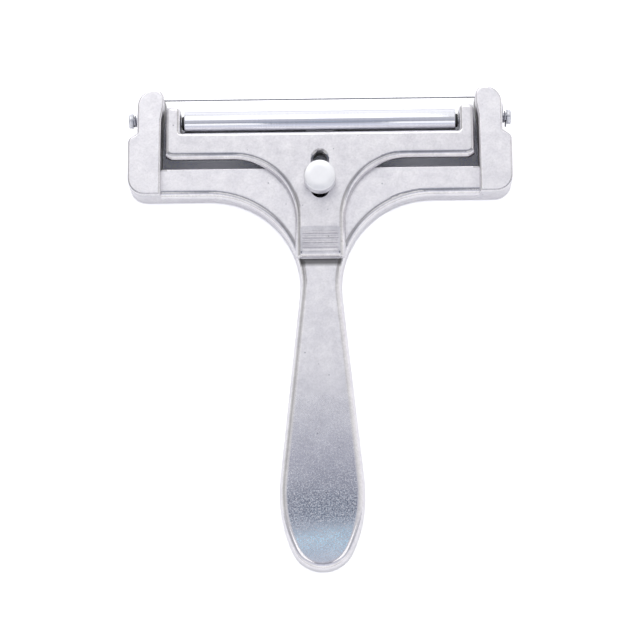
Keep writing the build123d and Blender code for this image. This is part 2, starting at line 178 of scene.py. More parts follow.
def cut_thread(name, radius, pitch, bottom, top):
    """A right-hand threaded rod, cut off square at both ends."""
    root = radius - THREAD_DEPTH_IN_PITCHES * pitch
    lead_in = bottom - THREAD_LEAD_IN_PITCHES * pitch
    flank = [(root, 0), (root, pitch / 4), (radius, pitch * 9 / 16), (radius, pitch * 11 / 16), (root, pitch)]
    piece = draw_outline(name, [(r, z + lead_in) for r, z in flank])
    bpy.ops.object.mode_set(mode="OBJECT")
    helix = piece.modifiers.new("helix", "SCREW")
    helix.axis = "Z"
    helix.angle = 2 * math.pi
    helix.screw_offset = pitch
    helix.iterations = math.ceil((top - lead_in) / pitch) + 2
    helix.steps = helix.render_steps = THREAD_STEPS
    apply_all(piece)
    bpy.ops.object.mode_set(mode="EDIT")
    bpy.ops.mesh.select_all(action="SELECT")
    bpy.ops.mesh.remove_doubles(threshold=MERGE_DISTANCE)
    for height, direction in ((bottom, -1), (top, 1)):
        bpy.ops.mesh.select_all(action="SELECT")
        bpy.ops.mesh.bisect(plane_co=(0, 0, height), plane_no=(0, 0, direction), use_fill=True,
                            clear_outer=True, threshold=CUT_THRESHOLD)
    bpy.ops.mesh.select_all(action="SELECT")
    bpy.ops.mesh.remove_doubles(threshold=MERGE_DISTANCE)
    bpy.ops.mesh.normals_make_consistent(inside=False)
    bpy.ops.object.mode_set(mode="OBJECT")
    return piece


def combine(piece, other, operation):
    """Join the other solid to the piece, or cut it away, and drop the other."""
    change = piece.modifiers.new("combine", "BOOLEAN")
    change.operation = operation
    change.solver = "EXACT"
    change.object = other
    apply_all(piece)
    bpy.data.objects.remove(other)
    return piece


def set_in_place(piece, place, toward="Z"):
    """Shrink from millimetres to metres, turn the piece's Z axis to where it points, and move it there."""
    quarter = math.pi / 2
    take(piece)
    piece.rotation_euler = {"Z": (0, 0, 0), "+X": (0, quarter, 0), "-X": (0, -quarter, 0)}[toward]
    piece.scale = (MM, MM, MM)
    piece.location = Vector(place) * MM
    bpy.ops.object.transform_apply(location=True, rotation=True, scale=True)
    return piece


def dress(piece, finish):
    take(piece)
    piece.data.materials.clear()
    piece.data.materials.append(finish)
    bpy.ops.object.shade_smooth_by_angle(angle=math.radians(SMOOTH_DEGREES))


def dress_casting(node, finish):
    """Give a carried-over CAD node its finish."""
    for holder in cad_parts[node].material_slots:
        holder.material = finish


# Shader helpers

def linear(code):
    """Linear colour of an sRGB hex value."""
    shares = [int(code[i:i + 2], 16) / 255 for i in (0, 2, 4)]
    return [s / 12.92 if s <= 0.04045 else ((s + 0.055) / 1.055) ** 2.4 for s in shares] + [1.0]


def per_mm(size):
    """Scale of a pattern whose features are this many millimetres across."""
    return 1 / (size * MM)


def add(tree, kind, inputs=None, **settings):
    """Add one node. Settings are its own properties, and an input is a value or the output that feeds it."""
    made = tree.nodes.new(kind)
    for name, value in settings.items():
        setattr(made, name, value)
    for name, value in (inputs or {}).items():
        if isinstance(value, bpy.types.NodeSocket):
            tree.links.new(value, made.inputs[name])
        else:
            made.inputs[name].default_value = value
    return made


def set_stops(ramp, stops):
    """Set a colour ramp's stops, each a place and a grey level or a linear colour."""
    points = ramp.color_ramp.elements
    while len(points) < len(stops):
        points.new(1.0)
    for point, (place, level) in zip(points, stops):
        point.position = place
        point.color = level if isinstance(level, list) else (level, level, level, 1)
    return ramp.outputs["Color"]


def new_finish(name):
    finish = bpy.data.materials.new(name)
    finish.use_nodes = True
    finish.node_tree.nodes.clear()
    return finish, finish.node_tree


def close_finish(tree, shader):
    add(tree, "ShaderNodeOutputMaterial", {"Surface": shader})


def near_box(tree, place, middle, half, fade):
    """1 inside a box and falling to 0 over the fade outside it, all in millimetres along X, Y and Z."""
    middle, half, fade = ([c * MM for c in lengths] for lengths in (middle, half, fade))
    away = add(tree, "ShaderNodeVectorMath", {0: place, 1: middle}, operation="SUBTRACT")
    size = add(tree, "ShaderNodeVectorMath", {0: away.outputs[0]}, operation="ABSOLUTE")
    over = add(tree, "ShaderNodeVectorMath", {0: size.outputs[0], 1: half}, operation="SUBTRACT")
    share = add(tree, "ShaderNodeVectorMath", {0: over.outputs[0], 1: fade}, operation="DIVIDE")
    each = add(tree, "ShaderNodeSeparateXYZ", {"Vector": share.outputs[0]})
    level = add(tree, "ShaderNodeMath", {0: each.outputs["X"], 1: each.outputs["Y"]}, operation="MAXIMUM")
    farthest = add(tree, "ShaderNodeMath", {0: level.outputs[0], 1: each.outputs["Z"]}, operation="MAXIMUM")
    near = add(tree, "ShaderNodeMapRange", {"Value": farthest.outputs[0], "To Min": 1.0, "To Max": 0.0})
    return near.outputs["Result"]


def darken(tree, colour, mask, share):
    """Multiply a colour by a share where the mask is 1."""
    kept = add(tree, "ShaderNodeMapRange", {"Value": mask, "To Min": 1.0, "To Max": share})
    dark = add(tree, "ShaderNodeVectorMath", {0: colour, "Scale": kept.outputs["Result"]}, operation="SCALE")
    return dark.outputs[0]


# Finishes

# the castings' roughness, and the share of light that the painted dark reflection line along their rims that
# face the handle leaves
SATIN = 0.4
TUMBLED_RIM = 0.08
PALM_MIRROR = 0.05
PALM_MARK = 0.34
PAINTED_RIM_LINE_SHARE = 0.66
# places that the tumbling stones don't reach, each a box's middle and half size and the fade round it:
# the pad's ribs, and between ears and posts
PAD_RIBS = ((0, 28.8, 11.5), (6.1, 4.6, 1.5), (0.2, 0.3, 0.3))
EAR_SIDE = ((52.4, 72.0, 11.5), (1.4, 11.0, 1.6), (0.2, 0.5, 0.3))
# noise levels between which a metal or plastic goes from its darker to its full tone
NOISE_LOW, NOISE_HIGH = 0.3, 0.7


def casting_skin(tree, place, grain, light, dark):
    """Colour of a tumbled casting: clouds, blotches, grain and pits."""
    # clouds left by the die's release film, about 6 mm across
    clouds = add(tree, "ShaderNodeTexNoise", {
        "Vector": place, "Scale": per_mm(6), "Detail": 5, "Roughness": 0.7})
    tone = set_stops(add(tree, "ShaderNodeValToRGB", {"Fac": clouds.outputs["Fac"]}), [
        (0.32, linear(dark)), (0.66, linear(light))])
    # blotches of the tumbling, about 1.6 mm
    blotches = add(tree, "ShaderNodeTexNoise", {
        "Vector": place, "Scale": per_mm(1.6), "Detail": 3, "Distortion": 0.6})
    blotch_tone = set_stops(add(tree, "ShaderNodeValToRGB", {"Fac": blotches.outputs["Fac"]}), [
        (0.3, 0.93), (0.6, 1.0)])
    blotched = add(tree, "ShaderNodeMix", {0: 1.0, 6: tone, 7: blotch_tone},
                   data_type="RGBA", blend_type="MULTIPLY")
    grain_tone = set_stops(add(tree, "ShaderNodeValToRGB", {"Fac": grain}), [(0.35, 0.92), (0.6, 1.0)])
    grained = add(tree, "ShaderNodeMix", {0: 1.0, 6: blotched.outputs[2], 7: grain_tone},
                  data_type="RGBA", blend_type="MULTIPLY")
    # gas pits of the casting, 0.4 mm wide, one in about 5 mm
    pits = add(tree, "ShaderNodeTexVoronoi", {"Vector": place, "Scale": per_mm(5), "Randomness": 1.0})
    pit_mask = set_stops(add(tree, "ShaderNodeValToRGB", {"Fac": pits.outputs["Distance"]}), [
        (0.03, 0.7), (0.07, 0.0)])
    pitted = add(tree, "ShaderNodeMix", {0: pit_mask, 6: grained.outputs[2], 7: linear("85868E")},
                 data_type="RGBA")
    return pitted.outputs[2]


def painted_rim_reflection(tree, along, facing, in_pad):
    """1 where the painted dark reflection line goes: where a rim starts on the sides that face the handle,
    from the neck on up, but not on the pad.
    """
    rim_start = set_stops(add(tree, "ShaderNodeValToRGB", {"Fac": facing.outputs["Z"]}), [
        (0.84, 0.0), (0.89, 1.0), (0.98, 1.0), (0.993, 0.0)])
    toward_palm = add(tree, "ShaderNodeMapRange", {
        "Value": facing.outputs["Y"], "From Min": 0.03, "From Max": -0.06})
    above_neck = add(tree, "ShaderNodeMapRange", {"Value": along, "From Min": -0.01, "From Max": 0.01})
    off_pad = add(tree, "ShaderNodeMath", {0: 1.0, 1: in_pad}, operation="SUBTRACT")
    mask = rim_start
    for share in (toward_palm.outputs["Result"], above_neck.outputs["Result"], off_pad.outputs[0]):
        mask = add(tree, "ShaderNodeMath", {0: mask, 1: share}, operation="MULTIPLY").outputs[0]
    return mask


def palm_marks(tree, place, facing):
    """1 on the scratches and dents that use has left on the flats."""
    # dents, 0.5 mm across
    dents = add(tree, "ShaderNodeTexNoise", {
        "Vector": place, "Scale": per_mm(0.5), "Detail": 3, "Roughness": 0.65, "Distortion": 0.2})
    dent_mask = set_stops(add(tree, "ShaderNodeValToRGB", {"Fac": dents.outputs["Fac"]}), [
        (0.45, 0.0), (0.68, 1.0)])
    # curled scratches, in loops of about 1.4 mm
    curls = add(tree, "ShaderNodeTexNoise", {
        "Vector": place, "Scale": per_mm(1.4), "Detail": 1, "Distortion": 1.5})
    curl_mask = set_stops(add(tree, "ShaderNodeValToRGB", {"Fac": curls.outputs["Fac"]}), [
        (0.47, 0.0), (0.5, 0.7), (0.53, 0.0)])
    marks = add(tree, "ShaderNodeMath", {0: dent_mask, 1: curl_mask}, operation="MAXIMUM")
    on_flat = add(tree, "ShaderNodeMapRange", {
        "Value": facing.outputs["Z"], "From Min": 0.985, "From Max": 0.998})
    return add(tree, "ShaderNodeMath", {0: marks.outputs[0], 1: on_flat.outputs["Result"]},
               operation="MULTIPLY").outputs[0]


def tumbled_casting(name, light, dark, painted_shades):
    """Die-cast aluminium, tumbled in stones and handled for years.
    It gives the eye a pale, faintly violet grey with soft clouds, satin flats, brighter rims that the
    tumbling has polished, a painted dark reflection line where a rim facing the handle starts, satin ribs on
    the pad, a few dark pits, painted shade in the slot and the gaps and a painted shadow under the carriage's
    nose, and a handle end that the palm has worn to a scratched mirror."""
    finish, tree = new_finish(name)
    place = add(tree, "ShaderNodeTexCoord").outputs["Object"]
    apart = add(tree, "ShaderNodeSeparateXYZ", {"Vector": place})
    along = apart.outputs["Y"]
    off_middle = add(tree, "ShaderNodeMath", {0: apart.outputs["X"]}, operation="ABSOLUTE")
    folded = add(tree, "ShaderNodeCombineXYZ", {
        "X": off_middle.outputs[0], "Y": along, "Z": apart.outputs["Z"]}).outputs[0]
    facing = add(tree, "ShaderNodeSeparateXYZ", {
        "Vector": add(tree, "ShaderNodeNewGeometry").outputs["Normal"]})
    in_pad = near_box(tree, place, *PAD_RIBS)
    by_ear = near_box(tree, folded, *EAR_SIDE)

    # grain of the tumbled skin, really 0.2 mm, drawn 0.7 mm so that it shows
    grain = add(tree, "ShaderNodeTexNoise", {
        "Vector": place, "Scale": per_mm(0.7), "Detail": 3, "Roughness": 0.65}).outputs["Fac"]
    colour = casting_skin(tree, place, grain, light, dark)
    # painted shade and shadow: each box darkens the colour where shade falls, in the slot, the gaps and under
    # the nose
    for middle, half, fade, share in painted_shades:
        both_sides = middle[0] > 0
        there = near_box(tree, folded if both_sides else place, middle, half, fade)
        colour = darken(tree, colour, there, share)
    # painted dark reflection: a darker line where a rim that faces the handle starts
    colour = darken(tree, colour, painted_rim_reflection(tree, along, facing, in_pad), PAINTED_RIM_LINE_SHARE)

    # satin flats and walls, and polished rims between them
    tumbled = set_stops(add(tree, "ShaderNodeValToRGB", {"Fac": facing.outputs["Z"]}), [
        (0.05, SATIN), (0.25, TUMBLED_RIM), (0.98, TUMBLED_RIM), (0.995, SATIN)])
    # the palm's wear, from the neck on down to the handle's end
    worn = add(tree, "ShaderNodeMapRange", {
        "Value": along, "From Min": -0.012, "From Max": -0.045}).outputs["Result"]
    shiny = add(tree, "ShaderNodeMix", {0: worn, 2: tumbled, 3: PALM_MIRROR}, data_type="FLOAT")
    marks = palm_marks(tree, place, facing)
    marked = add(tree, "ShaderNodeMix", {0: marks, 2: shiny.outputs[0], 3: PALM_MARK}, data_type="FLOAT")
    unpolished = add(tree, "ShaderNodeMath", {0: in_pad, 1: by_ear}, operation="MAXIMUM")
    rough = add(tree, "ShaderNodeMix", {0: unpolished.outputs[0], 2: marked.outputs[0], 3: SATIN},
                data_type="FLOAT")
    calm = add(tree, "ShaderNodeMapRange", {"Value": worn, "To Min": 0.3, "To Max": 0.05})
    bump = add(tree, "ShaderNodeBump", {
        "Strength": calm.outputs["Result"], "Distance": 0.03 * MM, "Height": grain})
    shader = add(tree, "ShaderNodeBsdfPrincipled", {
        "Base Color": colour, "Metallic": 1.0, "Roughness": rough.outputs[0],
        "Normal": bump.outputs["Normal"]})
    close_finish(tree, shader.outputs["BSDF"])
    return finish


def tone_stops(colour, dark_share):
    """Stops from a darker share of the colour to the full colour."""
    full = linear(colour)
    return [(NOISE_LOW, [c * dark_share for c in full]), (NOISE_HIGH, full)]


def polished_steel(name, colour, roughness):
    """Polished steel for the roller's tube, ground steel for its axle and drawn steel for the wire.
    It gives the eye a mirror on the tube, and a duller shine on the other two, with hair-fine rings."""
    finish, tree = new_finish(name)
    place = add(tree, "ShaderNodeTexCoord").outputs["Object"]
    # rings really 0.05 mm apart, drawn 0.7 mm so that they show
    stretched = add(tree, "ShaderNodeMapping", {"Vector": place, "Scale": (1.0, 0.02, 0.02)})
    rings = add(tree, "ShaderNodeTexNoise", {
        "Vector": stretched.outputs["Vector"], "Scale": per_mm(0.7), "Detail": 3}).outputs["Fac"]
    tone = set_stops(add(tree, "ShaderNodeValToRGB", {"Fac": rings}), tone_stops(colour, 0.95))
    rough = add(tree, "ShaderNodeMapRange", {
        "Value": rings, "From Min": NOISE_LOW, "From Max": NOISE_HIGH,
        "To Min": roughness * 0.7, "To Max": roughness * 1.4})
    shader = add(tree, "ShaderNodeBsdfPrincipled", {
        "Base Color": tone, "Metallic": 1.0, "Roughness": rough.outputs["Result"]})
    close_finish(tree, shader.outputs["BSDF"])
    return finish


def plated_steel(name, colour, roughness, cloud_mm):
    """Zinc-plated steel for the screws, washers and stud, and turned aluminium, much like it, for the knob.
    It gives the eye a cool, soft shine, with patches where the plating or the metal's skin is thicker."""
    finish, tree = new_finish(name)
    place = add(tree, "ShaderNodeTexCoord").outputs["Object"]
    patches = add(tree, "ShaderNodeTexNoise", {
        "Vector": place, "Scale": per_mm(cloud_mm), "Detail": 3}).outputs["Fac"]
    tone = set_stops(add(tree, "ShaderNodeValToRGB", {"Fac": patches}), tone_stops(colour, 0.93))
    rough = add(tree, "ShaderNodeMapRange", {
        "Value": patches, "From Min": NOISE_LOW, "From Max": NOISE_HIGH,
        "To Min": roughness * 0.8, "To Max": roughness * 1.3})
    bump = add(tree, "ShaderNodeBump", {"Strength": 0.2, "Distance": 0.01 * MM, "Height": patches})
    shader = add(tree, "ShaderNodeBsdfPrincipled", {
        "Base Color": tone, "Metallic": 1.0, "Roughness": rough.outputs["Result"],
        "Normal": bump.outputs["Normal"]})
    close_finish(tree, shader.outputs["BSDF"])
    return finish


def moulded_acetal(name, colour):
    """Injection-moulded acetal, for the bushes.
    It gives the eye a near-black, faintly waxy plastic with a fine eroded texture from the mould."""
    finish, tree = new_finish(name)
    place = add(tree, "ShaderNodeTexCoord").outputs["Object"]
    # texture of the mould, really 0.05 mm, drawn 0.3 mm so that it shows
    erosion = add(tree, "ShaderNodeTexNoise", {
        "Vector": place, "Scale": per_mm(0.3), "Detail": 2}).outputs["Fac"]
    tone = set_stops(add(tree, "ShaderNodeValToRGB", {"Fac": erosion}), tone_stops(colour, 0.92))
    bump = add(tree, "ShaderNodeBump", {"Strength": 0.3, "Distance": 0.02 * MM, "Height": erosion})
    shader = add(tree, "ShaderNodeBsdfPrincipled", {
        "Base Color": tone, "Roughness": 0.45, "IOR": 1.48, "Normal": bump.outputs["Normal"]})
    close_finish(tree, shader.outputs["BSDF"])
    return finish


# Pieces

def make_roller():
    low, high = cad_corners("roller_tube")
    deselect_all()
    bpy.ops.mesh.primitive_cylinder_add(vertices=ROLLER_SIDES, radius=(high.z - low.z) / 2,
                                        depth=high.x - low.x, end_fill_type="NOTHING")
    roller = name_piece("roller_sleeve")
    wall = roller.modifiers.new("wall", "SOLIDIFY")
    wall.thickness = ROLLER_WALL
    wall.offset = -1
    edge = roller.modifiers.new("edge", "BEVEL")
    edge.width = ROLLER_EDGE
    edge.segments = ROLLER_EDGE_STEPS
    edge.angle_limit = math.radians(ROLLER_EDGE_DEGREES)
    apply_all(roller)
    return set_in_place(roller, (low + high) / 2, "+X")


def make_axle():
    """The roller's pin, chamfered, with a turning centre in each end."""
    low, high = cad_corners("roller_axle")
    half = (high.x - low.x) / 2
    radius = (high.z - low.z) / 2
    end = [(0, half - AXLE_CENTRE_DEPTH), (AXLE_CENTRE_RADIUS, half), (radius - AXLE_CHAMFER, half),
           (radius, half - AXLE_CHAMFER)]
    axle = turn("axle_pin", end + [(r, -z) for r, z in reversed(end)])
    return set_in_place(axle, (low + high) / 2, "+X")


def make_bush(side):
    """A bearing plug for one end of the roller, with the boss that runs against the ear."""
    low, high = cad_corners("roller_bush_" + side)
    length = high.x - low.x
    plug_radius = (high.z - low.z) / 2
    outline = [
        (BUSH_BORE_RADIUS, 0), (plug_radius - PLUG_LEAD_IN, 0), (plug_radius, PLUG_LEAD_IN_LENGTH),
        (plug_radius, PLUG_LENGTH), (BUSH_BOSS_RADIUS, PLUG_LENGTH),
        (BUSH_BOSS_RADIUS, length - BUSH_BOSS_CHAMFER), (BUSH_BOSS_RADIUS - BUSH_BOSS_CHAMFER, length),
        (BUSH_BORE_RADIUS, length), (BUSH_BORE_RADIUS, 0)]
    bush = turn("bearing_plug_" + side, outline)
    middle = (low + high) / 2
    start_x, toward = (low.x, "+X") if side == "right" else (high.x, "-X")
    return set_in_place(bush, (start_x, middle.y, middle.z), toward)


def make_wire_screw(side):
    """A slotted pan-head screw with its real thread."""
    low, high = cad_corners("wire_screw_" + side)
    head_radius = (high.z - low.z) / 2
    thickness = SCREW_HEAD_THICKNESS
    edge = [(head_radius - inward, thickness - down) for inward, down in SCREW_HEAD_EDGE]
    head = turn("post_screw_" + side, [
        (0, 0), (head_radius - SCREW_HEAD_CHAMFER, 0), (head_radius, SCREW_HEAD_CHAMFER), *edge,
        (head_radius / 2, thickness - SCREW_HEAD_CROWN), (0, thickness)])
    shank = cut_thread("shank", SCREW_RADIUS, SCREW_PITCH, thickness - (high.x - low.x), thickness / 2)
    screw = combine(head, shank, "UNION")
    deselect_all()
    bpy.ops.mesh.primitive_cube_add(size=1, location=(0, 0, thickness))
    slot = name_piece("slot")
    slot.scale = (SCREW_SLOT_WIDTH, 4 * head_radius, 2 * SCREW_SLOT_DEPTH)
    bpy.ops.object.transform_apply(scale=True)
    combine(screw, slot, "DIFFERENCE")
    middle = (low + high) / 2
    head_x, toward = (high.x - thickness, "+X") if side == "right" else (low.x + thickness, "-X")
    return set_in_place(screw, (head_x, middle.y, middle.z), toward)


def make_wire_washer(side):
    low, high = cad_corners("wire_washer_" + side)
    washer = turn_washer("post_washer_" + side, WIRE_WASHER_BORE, (high.z - low.z) / 2, (high.x - low.x) / 2,
                         WIRE_WASHER_EDGE)
    return set_in_place(washer, (low + high) / 2, "+X")


def make_knob():
    """The thumb knob, with a blind hole for the stud and fine grooves round its grip."""
    low, high = cad_corners("lock_knob")
    radius = (high.x - low.x) / 2
    height = high.z - low.z
    sides = KNURL_COUNT * KNURL_STEPS
    grip_low, grip_high = KNURL_ABOVE_FOOT, height - KNURL_BELOW_TOP
    edge = [(radius - inward, height - down) for inward, down in KNOB_TOP_EDGE]
    outline = [
        (0, STUD_IN_KNOB), (STUD_RADIUS, STUD_IN_KNOB), (STUD_RADIUS, 0), (radius - KNOB_FOOT_CHAMFER, 0),
        (radius, KNOB_FOOT_CHAMFER), (radius, grip_low), (radius, grip_high), *edge,
        (radius / 2, height), (0, height)]
    knob = turn("clamp_knob", outline, sides)
    bpy.ops.object.mode_set(mode="EDIT")

    def in_groove(place):
        step = round(math.degrees(math.atan2(place.y, place.x)) / 360 * sides)
        return step % KNURL_STEPS == 0 and grip_low - TOLERANCE < place.z < grip_high + TOLERANCE

    select_vertices(knob, in_groove)
    share = (radius - KNURL_DEPTH) / radius
    bpy.ops.transform.resize(value=(share, share, 1), center_override=(0, 0, 0))
    bpy.ops.object.mode_set(mode="OBJECT")
    middle = (low + high) / 2
    return set_in_place(knob, (middle.x, middle.y, low.z))


def make_stud():
    """The clamp's threaded stud, tapered at its tip."""
    low, high = cad_corners("lock_stud")
    stud = cut_thread("clamp_stud", STUD_RADIUS, STUD_PITCH, low.z, high.z)
    bpy.ops.object.mode_set(mode="EDIT")
    select_vertices(stud, lambda place: place.z < low.z + TOLERANCE)
    bpy.ops.transform.resize(value=(STUD_TIP_SHARE, STUD_TIP_SHARE, 1), center_override=(0, 0, 0))
    bpy.ops.object.mode_set(mode="OBJECT")
    middle = (low + high) / 2
    return set_in_place(stud, (middle.x, middle.y, 0))


def make_knob_washer():
    low, high = cad_corners("knob_washer")
    washer = turn_washer("clamp_washer_ring", KNOB_WASHER_BORE, (high.x - low.x) / 2, (high.z - low.z) / 2,
                         KNOB_WASHER_EDGE)
    return set_in_place(washer, (low + high) / 2)


# Studio: places and sizes in metres, the camera's own lengths in millimetres

CAMERA_TARGET = Vector((-0.39, 1.77, 8.0)) * MM
CAMERA_DISTANCE = 0.8
CAMERA_TILT, CAMERA_LEAN, CAMERA_ROLL = math.radians(12.5), math.radians(1.0), math.radians(0.62)
SENSOR_WIDTH = 36
LENS_LENGTH = 133.69
CLIP_START = 0.01

FLOOR_SIZE = 6
FLOOR_LEVEL = -0.0002
# what the floor gives as light on the object, and how bright mirrors see it in front of and behind the wire
FLOOR_GREY = 0.4
MIRRORED_FLOOR, MIRRORED_FLOOR_BEHIND = 1.25, 1.5
FRONT_ENDS, BEHIND_STARTS = 0.07, 0.082
# how bright the camera sees it, by the share of open sky over it: the narrow gaps of the object are darkest
FLOOR_SHADE = [
    (0.01, [0.2, 0.205, 0.26, 1]), (0.06, [0.6, 0.62, 0.75, 1]), (0.2, [1.1, 1.12, 1.3, 1]), (0.3, 2.1)]
SHADE_REACH = 0.03

# the grey card over the handle and its bands of colour, and the two white cards beside the handle's end
CARD_HEIGHT = 0.408
GREY_CARD_PLACE, GREY_CARD_SIZE = (-0.007, 0.0, CARD_HEIGHT), (0.16, 0.14, 1)
WHITE_CARD_X, WHITE_CARD_Y, WHITE_CARD_SIZE = 0.185, -0.16, (0.22, 0.18, 1)
WHITE_CARD_LEVEL = 1.25
BLUE_BAND = linear("C4EAFF")
DARK_BAND = linear("727A8A")
CARD_BANDS = [
    (0.27, linear("C6CAD8")), (0.32, BLUE_BAND), (0.37, BLUE_BAND), (0.39, linear("A8A6B4")),
    (0.415, DARK_BAND), (0.49, DARK_BAND), (0.53, linear("989CAA")), (0.62, linear("A4A7B5"))]

NEUTRAL = (1.0, 1.0, 1.0)
COOL = (0.95, 0.97, 1.1)
# the tent from the handle's side over the top to the wire's: degrees from straight up, level and tint
TENT_RIDGE = [
    (-90, 0.62, NEUTRAL), (-84, 0.85, NEUTRAL), (-76, 1.04, NEUTRAL), (-70, 1.06, NEUTRAL),
    (-59, 1.04, NEUTRAL), (-49, 0.84, COOL), (-39, 0.75, COOL), (-28, 0.6, COOL), (-23, 0.37, COOL),
    (-15, 0.37, COOL), (-9, 0.55, COOL), (0, 0.56, COOL), (10, 0.61, COOL), (21, 0.84, NEUTRAL),
    (31, 1.12, NEUTRAL), (42, 1.25, NEUTRAL), (60, 1.28, NEUTRAL), (90, 1.15, NEUTRAL)]
# its side walls from left to right, each place the X of a direction, and how much they count beside the ridge
TENT_WALLS = [
    (-1.0, 1.05), (-0.95, 0.8), (-0.85, 0.56), (-0.7, 0.54), (-0.5, 0.74), (-0.2, 0.7), (0.2, 0.66),
    (0.5, 0.76), (0.75, 0.86), (0.95, 0.96)]
WALL_SHARE = [(-0.4, 1.0), (-0.12, 0.0), (0.12, 0.0), (0.4, 1.0)]

LAMP_PLACE = (-0.15, 0.72, 0.85)
LAMP_SIZE = 0.8
LAMP_WATTS = 1.5


def place_camera():
    """The photograph's view: 800 mm away, 12.5 degrees from straight down, from the handle's side."""
    tilt, lean, roll = CAMERA_TILT, CAMERA_LEAN, CAMERA_ROLL
    forward = Vector((-math.sin(lean), math.sin(tilt), -math.cos(tilt) * math.cos(lean))).normalized()
    level = (Vector((1, 0, 0)) - forward * forward.x).normalized()
    down = forward.cross(level)
    right = level * math.cos(roll) + down * math.sin(roll)
    below = down * math.cos(roll) - level * math.sin(roll)
    turned = Matrix((right, -below, -forward)).transposed().to_4x4()
    camera_data = bpy.data.cameras.new("photo_view")
    camera = bpy.data.objects.new("photo_view", camera_data)
    bpy.context.scene.collection.objects.link(camera)
    camera.matrix_world = Matrix.Translation(CAMERA_TARGET - forward * CAMERA_DISTANCE) @ turned
    camera_data.sensor_width = SENSOR_WIDTH
    camera_data.lens = LENS_LENGTH
    camera_data.clip_start = CLIP_START
    bpy.context.scene.camera = camera


def seen_or_mirrored(tree):
    """1 for rays from the camera, or from a mirror or glass that the camera sees, 0 for the rest."""
    ray = add(tree, "ShaderNodeLightPath").outputs
    through = add(tree, "ShaderNodeMath", {0: ray["Is Glossy Ray"], 1: ray["Is Transmission Ray"]},
                  operation="MAXIMUM")
    direct = add(tree, "ShaderNodeMath", {0: ray["Diffuse Depth"], 1: 0.5}, operation="LESS_THAN")
    mirrored = add(tree, "ShaderNodeMath", {0: through.outputs[0], 1: direct.outputs[0]},
                   operation="MULTIPLY")
    return add(tree, "ShaderNodeMath", {0: ray["Is Camera Ray"], 1: mirrored.outputs[0]},
               operation="MAXIMUM").outputs[0]


def lay_floor():
    """A pale table. The camera and mirrors see it white, with the object's shadow."""
    deselect_all()
    bpy.ops.mesh.primitive_plane_add(size=FLOOR_SIZE, location=(0, 0, FLOOR_LEVEL))
    floor = name_piece("studio_floor")
    finish, tree = new_finish("white_table")
    plain = add(tree, "ShaderNodeBsdfDiffuse", {"Color": (FLOOR_GREY, FLOOR_GREY, FLOOR_GREY, 1)})
    open_sky = add(tree, "ShaderNodeAmbientOcclusion", {"Distance": SHADE_REACH}, samples=8)
    shade = set_stops(add(tree, "ShaderNodeValToRGB", {"Fac": open_sky.outputs["AO"]}), FLOOR_SHADE)
    ray = add(tree, "ShaderNodeLightPath")
    # mirrors see it without that shade, and brighter behind the wire
    apart = add(tree, "ShaderNodeSeparateXYZ", {"Vector": add(tree, "ShaderNodeTexCoord").outputs["Object"]})
    behind = add(tree, "ShaderNodeMapRange", {
        "Value": apart.outputs["Y"], "From Min": FRONT_ENDS, "From Max": BEHIND_STARTS,
        "To Min": MIRRORED_FLOOR, "To Max": MIRRORED_FLOOR_BEHIND})
    level = add(tree, "ShaderNodeMix", {
        0: ray.outputs["Is Camera Ray"], 6: behind.outputs["Result"], 7: shade}, data_type="RGBA")
    white = add(tree, "ShaderNodeBsdfDiffuse", {"Color": level.outputs[2]})
    mixed = add(tree, "ShaderNodeMixShader", {
        0: seen_or_mirrored(tree), 1: plain.outputs[0], 2: white.outputs[0]})
    close_finish(tree, mixed.outputs[0])
    floor.data.materials.append(finish)


def hang(name, place, size, finish):
    """A level card over the object, which only mirrors see."""
    deselect_all()
    bpy.ops.mesh.primitive_plane_add(size=1, location=place)
    card = name_piece(name)
    card.scale = size
    bpy.ops.object.transform_apply(location=True, scale=True)
    card.visible_camera = card.visible_diffuse = card.visible_shadow = card.visible_transmission = False
    card.data.materials.append(finish)


def hang_grey_card():
    """A small card with soft edges, high over the handle. It darkens the middle of the handle's shiny end and
    draws the blue band there."""
    finish, tree = new_finish("grey_card")
    place = add(tree, "ShaderNodeTexCoord").outputs["Object"]
    apart = add(tree, "ShaderNodeSeparateXYZ", {"Vector": place})
    ripples = add(tree, "ShaderNodeTexNoise", {"Vector": place, "Scale": per_mm(14), "Detail": 2})
    shifted = add(tree, "ShaderNodeMath", {0: ripples.outputs["Fac"], 1: 0.012, 2: apart.outputs["Y"]},
                  operation="MULTIPLY_ADD")
    along = add(tree, "ShaderNodeMapRange", {
        "Value": shifted.outputs[0], "From Min": -0.064, "From Max": 0.076})
    across = add(tree, "ShaderNodeMapRange", {
        "Value": apart.outputs["X"], "From Min": -0.04, "From Max": 0.026})
    colour = set_stops(add(tree, "ShaderNodeValToRGB", {"Fac": along.outputs["Result"]}), CARD_BANDS)
    cover = set_stops(add(tree, "ShaderNodeValToRGB", {"Fac": along.outputs["Result"]}), [
        (0.1, 0.0), (0.24, 1.0), (0.55, 1.0), (0.80, 0.0)])
    middle = set_stops(add(tree, "ShaderNodeValToRGB", {"Fac": across.outputs["Result"]}), [
        (0.1, 0.55), (0.35, 1.0), (0.75, 1.0), (0.95, 0.6)])
    spread = add(tree, "ShaderNodeMath", {0: cover, 1: middle}, operation="MULTIPLY")
    clear = add(tree, "ShaderNodeBsdfTransparent")
    grey = add(tree, "ShaderNodeEmission", {"Color": colour, "Strength": 1.0})
    mixed = add(tree, "ShaderNodeMixShader", {0: spread.outputs[0], 1: clear.outputs[0], 2: grey.outputs[0]})
    close_finish(tree, mixed.outputs[0])
    hang("overhead_card", GREY_CARD_PLACE, GREY_CARD_SIZE, finish)


